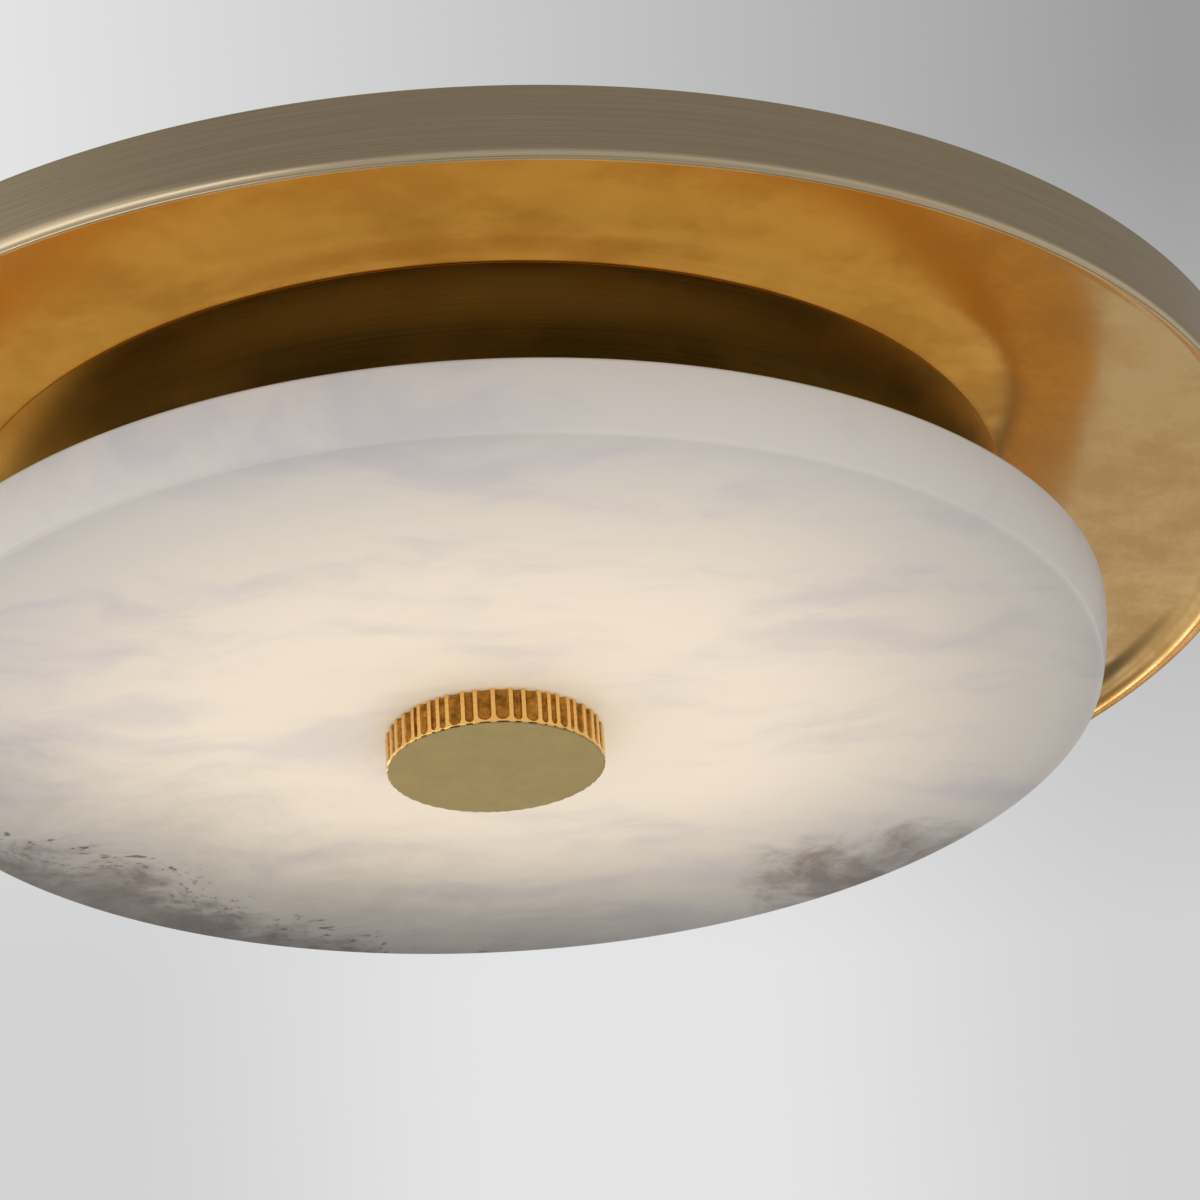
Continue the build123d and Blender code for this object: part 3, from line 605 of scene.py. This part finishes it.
class FLUSH_OT_drum(bpy.types.Operator):
    """Makes the drum: a brushed tube with a flange under the dish and a foot on the gasket"""
    bl_idname = "flush.drum"
    bl_label = "Drum"

    def execute(self, context):
        s = context.scene.flush_drum
        r, top, low = DRUM_HIGH[0], DRUM_HIGH[2], DRUM_LOW[2]
        wall, flange, foot = s.wall / MM, s.flange / MM, s.foot / MM
        edge, bend, inner = s.edge_round / MM, s.bend_round / MM, s.inner_round / MM
        profile = rounded([
            (r - flange, top, edge), (r, top, bend), (r, low, bend), (r - foot, low, edge),
            (r - foot, low + wall, edge), (r - wall, low + wall, inner),
            (r - wall, top - wall, inner), (r - flange, top - wall, edge),
        ], closed=True)
        piece = skin("drum_wall", lathe(profile), looped=True)
        settle(piece, "fixture", brushed_brass(context.scene.flush_brass), "drum")
        return {"FINISHED"}


class FLUSH_OT_stone(bpy.types.Operator):
    """Makes the alabaster disc: flat top, slightly swollen side and slightly domed face"""
    bl_idname = "flush.stone"
    bl_label = "Alabaster disc"

    def execute(self, context):
        s = context.scene.flush_stone
        top, low = STONE_HIGH[2], STONE_LOW[2]
        arris_z = low + s.dome / MM
        upper_r = s.upper_radius / MM
        lower_r = upper_r - s.draw_in / MM
        hole_r = s.hole_radius / MM
        t = np.linspace(0, 1, 16)
        swell = s.bulge / MM * 4 * t * (1 - t)
        side = np.stack([upper_r + (lower_r - upper_r) * t + swell, top + (arris_z - top) * t], -1)
        # The face falls as the square of the distance from the arris.
        r = np.linspace(lower_r, hole_r, 24)
        face = np.stack([r, low + s.dome / MM * (r / lower_r) ** 2], -1)
        edge = s.edge_round / MM
        inner, halfway = (hole_r, top), (100.0, top)
        upper = corner_arc(halfway, side[0], side[4], edge, 7)
        lower = corner_arc(side[-5], side[-1], face[4], edge, 9)
        profile = np.concatenate([[inner, halfway], upper, side[2:-2], lower, face[2:]])
        piece = skin("alabaster_slab", lathe(profile), looped=True)
        settle(piece, "stone", alabaster(s), "alabaster_disc")
        return {"FINISHED"}


class FLUSH_OT_boss(bpy.types.Operator):
    """Makes the cast boss with uneven grooves between its upright ribs and a lip under them"""
    bl_idname = "flush.boss"
    bl_label = "Boss"

    def execute(self, context):
        piece = skin("ribbed_boss", self.grid(context.scene.flush_boss))
        settle(piece, "boss", cast_brass(context.scene.flush_boss), "boss")
        return {"FINISHED"}

    def grid(self, s):
        """Rows from the bore's end over the top, down the side and in across the face. On the side the
        radius is R - depth * sqrt(1 - (u² + v²) ** 1.3), where u runs from -1 to 1 across a groove and v
        grows from 0 past its lower end. Rib k stands at k + drift * sin(m a) + wander * sin(n a) steps from
        the first, with a its even angle and m and n the two numbers of waves."""
        radius, top, low = BOSS_HIGH[0], BOSS_HIGH[2], BOSS_LOW[2]
        count, rib, depth = s.ribs, s.rib_width / MM, s.groove_depth / MM
        step = TURN / count
        k = np.arange(count + 1)
        even = step * k
        drift = s.drift * np.sin(s.drift_waves * even) + s.wander * np.sin(s.wander_waves * even)
        ribs = s.rib_start + step * (k + drift)
        centres, halves = (ribs[1:] + ribs[:-1]) / 2, (np.diff(ribs) - rib / radius) / 2
        across = np.concatenate([-np.cos(np.linspace(0, math.pi, 17)), [1.25, 1.5, 1.75]])
        inside = np.abs(across) <= 1
        u = np.where(inside, across, 2.0)
        angle = centres[:, None] + halves[:, None] * np.clip(across, -1, 1)
        angle += np.where(inside, 0, (across - 1) * rib / radius)
        angle, u = angle.ravel(), np.tile(u, count)
        groove = np.repeat(np.arange(count), len(across))
        half_mm = halves[groove] * radius

        luck = np.random.default_rng(7)
        deep = depth * luck.uniform(0.75, 1.0, count)[groove]
        lean = luck.uniform(-0.035, 0.035, count)[groove]
        ends = (low + s.lip / MM + luck.uniform(0.0, 0.5, count))[groove]
        phase = luck.uniform(0, TURN, count)[groove]

        z = np.linspace(top - 0.4, low + 0.45, 38)[:, None]
        end_run = np.minimum(half_mm, 1.5)
        v = np.clip((ends + end_run - z) / end_run, 0, None)
        pull = np.where(np.abs(u) <= 1, 1 - u ** 2, 0)
        hollow = np.sqrt(np.clip(1 - (np.minimum(u ** 2, 4) + v ** 2) ** 1.3, 0, 1))
        ripple = 0.05 * np.sin(2.1 * z + phase) + 0.04 * np.sin(5.3 * z + 2 * phase)
        side_r = radius - 0.02 - deep * hollow * (1 + ripple) - 0.03 * (1 + np.sin(3.7 * z + phase))
        side_angle = angle + (lean * (z - (top + low) / 2) + 0.10 * np.sin(0.9 * z + phase)) / radius * pull
        scallop = radius - 0.1 - 0.3 * pull * deep / depth

        def row(r, height):
            flat = np.broadcast_to(np.asarray(r, float), angle.shape)
            return np.stack([flat * np.cos(angle), flat * np.sin(angle), np.full_like(angle, height)], -1)

        side_x, side_y = side_r * np.cos(side_angle), side_r * np.sin(side_angle)
        side = np.stack([side_x, side_y, np.broadcast_to(z, side_r.shape)], -1)
        recess_r, recess_z = WASHER_HIGH[0] + 0.5, WASHER_LOW[2]
        bore_r, bore_z = ROD_HIGH[0] + 0.05, ROD_LOW[2] - 0.6
        above = [
            row(0, bore_z), row(bore_r, bore_z), row(bore_r, recess_z), row(recess_r, recess_z),
            row(recess_r, top), row(side_r[0] - 0.5, top), row(side_r[0] - 0.3, top - 0.03),
            row(side_r[0] - 0.08, top - 0.2),
        ]
        below = [
            row(scallop, low + 0.3), row(scallop - 0.05, low + 0.12), row(scallop - 0.2, low + 0.03),
            row(scallop - 0.4, low), row(scallop - 0.8, low), row(20, low), row(10, low), row(0, low),
        ]
        return np.concatenate([above, side, below])


class FLUSH_OT_fasteners(bpy.types.Operator):
    """Finishes the strap, rod, flange, standoffs and every screw and nut"""
    bl_idname = "flush.fasteners"
    bl_label = "Strap, rod and fasteners"

    def execute(self, context):
        # Zinc-plated steel, passivated clear: a cool grey sheen with a cloudy grain.
        dress([
            "mounting_strap", "strap_studs", "stud_washers", "stud_nuts", "drum_screws", "rod_flange",
            "flange_screws", "centre_rod", "rod_locknut", "standoffs", "carrier_screws", "board_screws",
            "driver_screws", "terminal_screws", "terminal_fixings", "earth_tag", "earth_screw",
        ], plain_finish("zinc_plated_steel", "#C4C7C8", 0.32, 2.5, metallic=1.0))
        return {"FINISHED"}


class FLUSH_OT_engine(bpy.types.Operator):
    """Finishes the lamp carrier, its board and chips, the driver and the wiring"""
    bl_idname = "flush.engine"
    bl_label = "Lamp and wiring"

    def execute(self, context):
        # Powder-coated steel has a fine orange peel, solder mask is smooth, moulded cases are slightly matt.
        dress(["led_carrier"], plain_finish("powder_coated_steel", "#E9E9E6", 0.45, 0.8))
        dress(["led_board"], plain_finish("white_solder_mask", "#F0F0EC", 0.4, 6.0))
        dress(["led_chips"], plain_finish("cast_phosphor", "#EBC95A", 0.5, 0.5))
        dress(["driver_case", "terminal_block"], plain_finish("moulded_polycarbonate", "#DEDED9", 0.45, 1.5))
        # Neutral is blue and live is brown. The low-voltage leads are black and red, side by side.
        middle = (OUTPUT_LOW[0] + OUTPUT_HIGH[0]) / 2
        mains = plain_finish("mains_pvc_insulation", "#2C5A93", 0.42, 1.0, other="#6B432C")
        lamp = plain_finish("low_voltage_pvc_insulation", "#262626", 0.42, 1.0, other="#A8281E", seam=middle)
        dress(["input_leads"], mains)
        dress(["output_leads"], lamp)
        dress(["earth_lead"], plain_finish("green_pvc_insulation", "#3E8444", 0.42, 1.0))
        return {"FINISHED"}


class FLUSH_OT_seals(bpy.types.Operator):
    """Finishes the gasket, the bushing, the stone's sleeve and the washer"""
    bl_idname = "flush.seals"
    bl_label = "Seals and sleeves"

    def execute(self, context):
        # Silicone is matt and milky, nylon waxy, vulcanised fibre a dull brick red.
        dress(["drum_gasket"], plain_finish("silicone_rubber", "#D2CFC6", 0.6, 2.0))
        dress(["wire_bushing", "stone_sleeve"], plain_finish("natural_nylon", "#D5D2C6", 0.4, 2.0))
        dress(["boss_washer"], plain_finish("vulcanised_fibre", "#7A3A28", 0.7, 0.6, waver=0.3))
        return {"FINISHED"}


# What metal mirrors of the room. Each light is a product of soft fades, and the brightest light counts. A
# fade names an axis of the direction looked in, or its size left and right (aside) or up and down (level),
# then where it starts and ends on that axis, and what it is there.
LIGHTS = {
    "far wall": (
        ("y", -0.15, 0.6, 0.015, 0.62), ("x", 0.12, 0.33, 1.0, 0.12), ("z", -0.66, -0.58, 0.15, 1.0),
        ("z", -0.56, -0.45, 1.0, 0.72), ("z", -0.05, 0.15, 1.0, 0.0),
    ),
    "floor": (("z", -0.70, -0.80, 0.01, 0.11),),
    "side walls": (("aside", 0.3, 0.9, 0.0, 0.22), ("z", -0.62, -0.5, 0.1, 1.0)),
    "ceiling": (("z", 0.1, 0.5, 0.0, 0.25),),
    "broad light on the left": (
        ("x", -0.3, -0.9, 0.0, 1.4), ("z", 0.2, 0.7, 1.0, 0.0), ("z", -0.3, 0.0, 0.0, 1.0),
    ),
    "large light in front": (
        ("z", -0.50, -0.43, 0.0, 0.65), ("z", 0.0, 0.25, 1.0, 0.5), ("y", 0.88, 0.78, 0.0, 1.0),
    ),
}
STRIPS = (("aside", 0.15, 0.5, 0.0, 1.0), ("level", 0.04, 0.14, 1.0, 0.0))


class FLUSH_OT_stage(bpy.types.Operator):
    """Makes the plain floor, the soft light and the camera at the photograph's angle"""
    bl_idname = "flush.stage"
    bl_label = "Stage"

    def execute(self, context):
        s = context.scene.flush_stage
        self.floor(s)
        self.room(context.scene, s)
        self.camera(context.scene, s)
        context.scene.view_settings.view_transform = "Standard"
        return {"FINISHED"}

    def floor(self, s):
        """A round floor well below the light."""
        radii = np.linspace(0, s.floor_radius / MM, 3)
        disc = lathe(np.stack([radii, np.full(3, -s.floor_drop / MM)], -1), columns=96)
        floor = skin("floor", disc)
        made, tree = blank("matt_floor_paint")
        shader = add(tree, "BsdfPrincipled", {"Base Color": s.floor, "Roughness": 0.9})
        add(tree, "OutputMaterial", {"Surface": shader})
        floor.data.materials.append(made)

    def room(self, scene, s):
        """Three views of one soft room: plain light for matt surfaces, a studio for metal to mirror, and a
        grey backdrop behind the light."""
        world = bpy.data.worlds.new("soft_room")
        scene.world = world
        world.use_nodes = True
        tree = world.node_tree
        tree.nodes.clear()
        way = add(tree, "TexCoord", out="Generated")
        x = add(tree, "SeparateXYZ", {0: way}, out="X")
        y = add(tree, "SeparateXYZ", {0: way}, out="Y")
        z = add(tree, "SeparateXYZ", {0: way}, out="Z")
        aside = add(tree, "Math", {0: x}, operation="ABSOLUTE")
        level = add(tree, "Math", {0: z}, operation="ABSOLUTE")
        axes = {"x": x, "y": y, "z": z, "aside": aside, "level": level}

        # Two narrow strips stand level with the rim, the left one three times as bright as the right one.
        mirrored = add(tree, "MapRange", {"Value": x, 1: -0.4, 2: 0.4, 3: 2.4, 4: 0.8})
        for axis, start, end, low, high in STRIPS:
            ends = {"Value": axes[axis], 1: start, 2: end, 3: low, 4: high}
            fade = add(tree, "MapRange", ends, **SMOOTH)
            mirrored = add(tree, "Math", {0: mirrored, 1: fade}, operation="MULTIPLY")
        for fades in LIGHTS.values():
            light = 1.0
            for axis, start, end, low, high in fades:
                ends = {"Value": axes[axis], 1: start, 2: end, 3: low, 4: high}
                fade = add(tree, "MapRange", ends, **SMOOTH)
                light = add(tree, "Math", {0: light, 1: fade}, operation="MULTIPLY")
            mirrored = add(tree, "Math", {0: mirrored, 1: light}, operation="MAXIMUM")

        # What the camera sees: a backdrop that dims to the right and brightens downwards.
        across = add(tree, "MapRange", {"Value": x, 1: -0.15, 2: 0.15})
        backdrop = add(tree, "Mix", {0: across, 6: s.bright, 7: s.dim}, out=2, data_type="RGBA")
        spread = add(tree, "MapRange", {"Value": aside, 1: 0.02, 2: 0.14}, **SMOOTH)
        pool = add(tree, "Mix", {0: spread, 6: s.bright, 7: s.middling}, out=2, data_type="RGBA")
        down = add(tree, "MapRange", {"Value": z, 1: 0.54, 2: 0.36})
        backdrop = add(tree, "Mix", {0: down, 6: backdrop, 7: pool}, out=2, data_type="RGBA")

        glossy = add(tree, "LightPath", out="Is Glossy Ray")
        camera = add(tree, "LightPath", out="Is Camera Ray")
        clear = add(tree, "LightPath", out="Is Transmission Ray")
        seen = add(tree, "Math", {0: camera, 1: clear}, operation="MAXIMUM")
        lit = add(tree, "Mix", {0: glossy, 2: s.level, 3: mirrored}, data_type="FLOAT")
        grey = add(tree, "CombineColor", {0: lit, 1: lit, 2: lit})
        shade = add(tree, "Mix", {0: seen, 6: grey, 7: backdrop}, out=2, data_type="RGBA")
        background = add(tree, "Background", {"Color": shade, "Strength": 1.0})
        add(tree, "OutputWorld", {"Surface": background})
        # The room differs by kind of ray, which only holds where light isn't sampled from a map of it.
        world.cycles.sampling_method = "NONE"

    def camera(self, scene, s):
        """The photograph's camera, worked out for a square picture."""
        lens = bpy.data.cameras.new("camera")
        lens.sensor_width = s.sensor
        lens.lens = s.focal
        lens.clip_start, lens.clip_end = 0.01, 100
        camera = bpy.data.objects.new("camera", lens)
        scene.collection.objects.link(camera)
        turn = Matrix.Rotation(math.pi / 2 + s.tilt, 4, "X") @ Matrix.Rotation(s.roll, 4, "Z")
        camera.matrix_world = Matrix.Translation(Vector(s.eye)) @ turn
        scene.camera = camera


GROUPS = {
    "flush_dish": DishSettings,
    "flush_drum": DrumSettings,
    "flush_stone": StoneSettings,
    "flush_boss": BossSettings,
    "flush_brass": BrassSettings,
    "flush_stage": StageSettings,
}
OPERATORS = (
    FLUSH_OT_stage, FLUSH_OT_dish, FLUSH_OT_drum, FLUSH_OT_stone, FLUSH_OT_boss,
    FLUSH_OT_fasteners, FLUSH_OT_engine, FLUSH_OT_seals,
)


class FLUSH_PT_panel(bpy.types.Panel):
    """Lists the operators and their settings in the sidebar"""
    bl_idname = "FLUSH_PT_panel"
    bl_label = "Flush mount light"
    bl_space_type = "VIEW_3D"
    bl_region_type = "UI"
    bl_category = "Flush light"

    def draw(self, context):
        for kind in OPERATORS:
            self.layout.operator(kind.bl_idname)
        for name, kind in GROUPS.items():
            box = self.layout.box()
            for key in kind.__annotations__:
                box.prop(getattr(context.scene, name), key)


def register():
    for name, kind in GROUPS.items():
        bpy.utils.register_class(kind)
        setattr(bpy.types.Scene, name, PointerProperty(type=kind))
    for kind in (*OPERATORS, FLUSH_PT_panel):
        bpy.utils.register_class(kind)


def unregister():
    for kind in (FLUSH_PT_panel, *reversed(OPERATORS)):
        bpy.utils.unregister_class(kind)
    for name, kind in GROUPS.items():
        delattr(bpy.types.Scene, name)
        bpy.utils.unregister_class(kind)


def main():
    """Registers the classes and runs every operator."""
    register()
    for kind in OPERATORS:
        group, name = kind.bl_idname.split(".")
        getattr(getattr(bpy.ops, group), name)()


if __name__ == "__main__":
    main()
